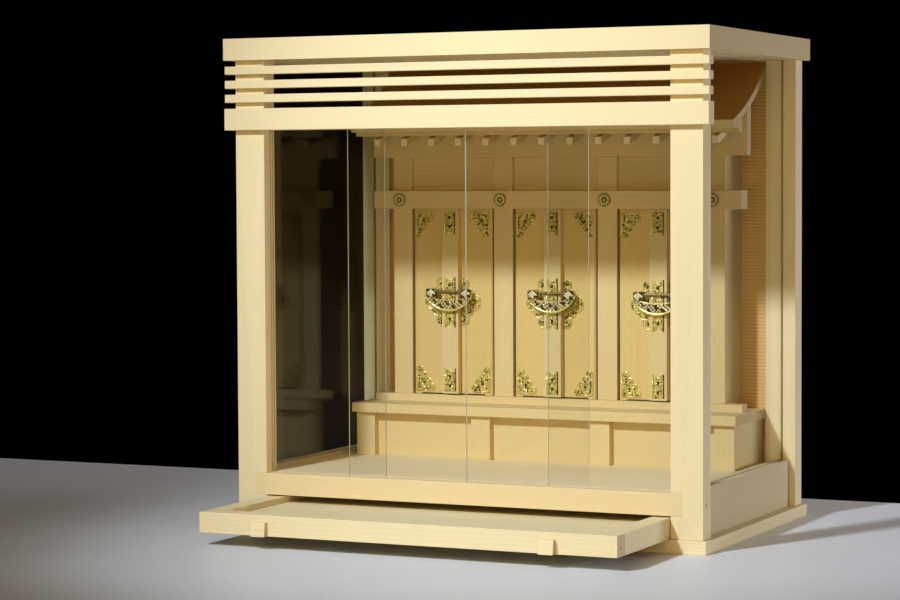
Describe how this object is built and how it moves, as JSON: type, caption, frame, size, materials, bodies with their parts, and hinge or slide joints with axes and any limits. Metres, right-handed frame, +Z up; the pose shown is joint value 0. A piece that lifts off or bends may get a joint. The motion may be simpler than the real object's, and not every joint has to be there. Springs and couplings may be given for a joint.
{
  "type": "glazed box household shrine",
  "caption": "Glazed wooden box shrine: three small shrines with paired hinged doors on a stepped pedestal, four sliding glass panes in front and a pull-out offering tray below.",
  "frame": {"origin": "centre of the case's foot on the floor", "axes": "+X to the right seen from the front, -Y towards the front and the pulled-out tray, +Z up"},
  "size_m": [0.534, 0.464, 0.51],
  "materials": {
    "cypress": "planed, unfinished",
    "glass": "clear float glass, polished edges",
    "brass": "polished, stamped"
  },
  "bodies": {
    "case": {"back_panel": "cypress", "beam": "cypress", "bottom_board": "cypress", "eave_board": "cypress", "floor_board": "cypress", "frieze_panels": "cypress", "front_sill": "cypress", "glass_head_rail": "cypress", "header_board": "cypress", "lintel": "cypress", "lintel_bosses": "brass", "louvre_slats": "cypress", "pedestal_legs": "cypress", "pedestal_sides": "cypress", "pedestal_skirt": "cypress", "pedestal_top": "cypress", "plinth_long_strips": "cypress", "plinth_side_strips": "cypress", "posts_front": "cypress", "posts_rear": "cypress", "rafters": "cypress", "shrine_pillars": "cypress", "shrine_roof": "cypress", "shrine_sides": "cypress", "shrine_sill": "cypress", "side_boards": "cypress", "side_glass": "glass", "top_board": "cypress"},
    "tray": {"tray_bottom": "cypress", "tray_ends": "cypress", "tray_pulls": "cypress", "tray_sides": "cypress"},
    "pane_1": {"glass_pane_1": "glass"},
    "pane_2": {"glass_pane_2": "glass"},
    "pane_3": {"glass_pane_3": "glass"},
    "pane_4": {"glass_pane_4": "glass"},
    "leaf_1_left": {"door_1_left": "cypress", "door_1_batten": "cypress", "brass_1_left": "brass", "lock_1": "brass"},
    "leaf_1_right": {"door_1_right": "cypress", "brass_1_right": "brass"},
    "leaf_2_left": {"door_2_left": "cypress", "door_2_batten": "cypress", "brass_2_left": "brass", "lock_2": "brass"},
    "leaf_2_right": {"door_2_right": "cypress", "brass_2_right": "brass"},
    "leaf_3_left": {"door_3_left": "cypress", "door_3_batten": "cypress", "brass_3_left": "brass", "lock_3": "brass"},
    "leaf_3_right": {"door_3_right": "cypress", "brass_3_right": "brass"}
  },
  "joints": [
    {"name": "tray_slide", "type": "slide", "parent": "case", "child": "tray", "axis": [0, -1, 0], "range_m": [-0.1393, 0.04]},
    {"name": "pane_1_slide", "type": "slide", "parent": "case", "child": "pane_1", "axis": [1, 0, 0], "range_m": [0, 0.09312]},
    {"name": "pane_2_slide", "type": "slide", "parent": "case", "child": "pane_2", "axis": [-1, 0, 0], "range_m": [0, 0.09312]},
    {"name": "pane_3_slide", "type": "slide", "parent": "case", "child": "pane_3", "axis": [1, 0, 0], "range_m": [0, 0.09312]},
    {"name": "pane_4_slide", "type": "slide", "parent": "case", "child": "pane_4", "axis": [-1, 0, 0], "range_m": [-0.0055, 0.08762]},
    {"name": "door_1_left_hinge", "type": "hinge", "parent": "case", "child": "leaf_1_left", "pos_m": [-0.1673, 0.0909, 0.124], "axis": [0, 0, -1], "range_deg": [0, 90]},
    {"name": "door_1_right_hinge", "type": "hinge", "parent": "case", "child": "leaf_1_right", "pos_m": [-0.0777, 0.0909, 0.124], "axis": [0, 0, 1], "range_deg": [0, 90]},
    {"name": "door_2_left_hinge", "type": "hinge", "parent": "case", "child": "leaf_2_left", "pos_m": [-0.0448, 0.0909, 0.124], "axis": [0, 0, -1], "range_deg": [0, 90]},
    {"name": "door_2_right_hinge", "type": "hinge", "parent": "case", "child": "leaf_2_right", "pos_m": [0.0448, 0.0909, 0.124], "axis": [0, 0, 1], "range_deg": [0, 90]},
    {"name": "door_3_left_hinge", "type": "hinge", "parent": "case", "child": "leaf_3_left", "pos_m": [0.0777, 0.0909, 0.124], "axis": [0, 0, -1], "range_deg": [0, 90]},
    {"name": "door_3_right_hinge", "type": "hinge", "parent": "case", "child": "leaf_3_right", "pos_m": [0.1673, 0.0909, 0.124], "axis": [0, 0, 1], "range_deg": [0, 90]}
  ],
  "couplings": [
    {"joint": "door_1_right_hinge", "follows": "door_1_left_hinge", "ratio": 1},
    {"joint": "door_2_right_hinge", "follows": "door_2_left_hinge", "ratio": 1},
    {"joint": "door_3_right_hinge", "follows": "door_3_left_hinge", "ratio": 1}
  ]
}
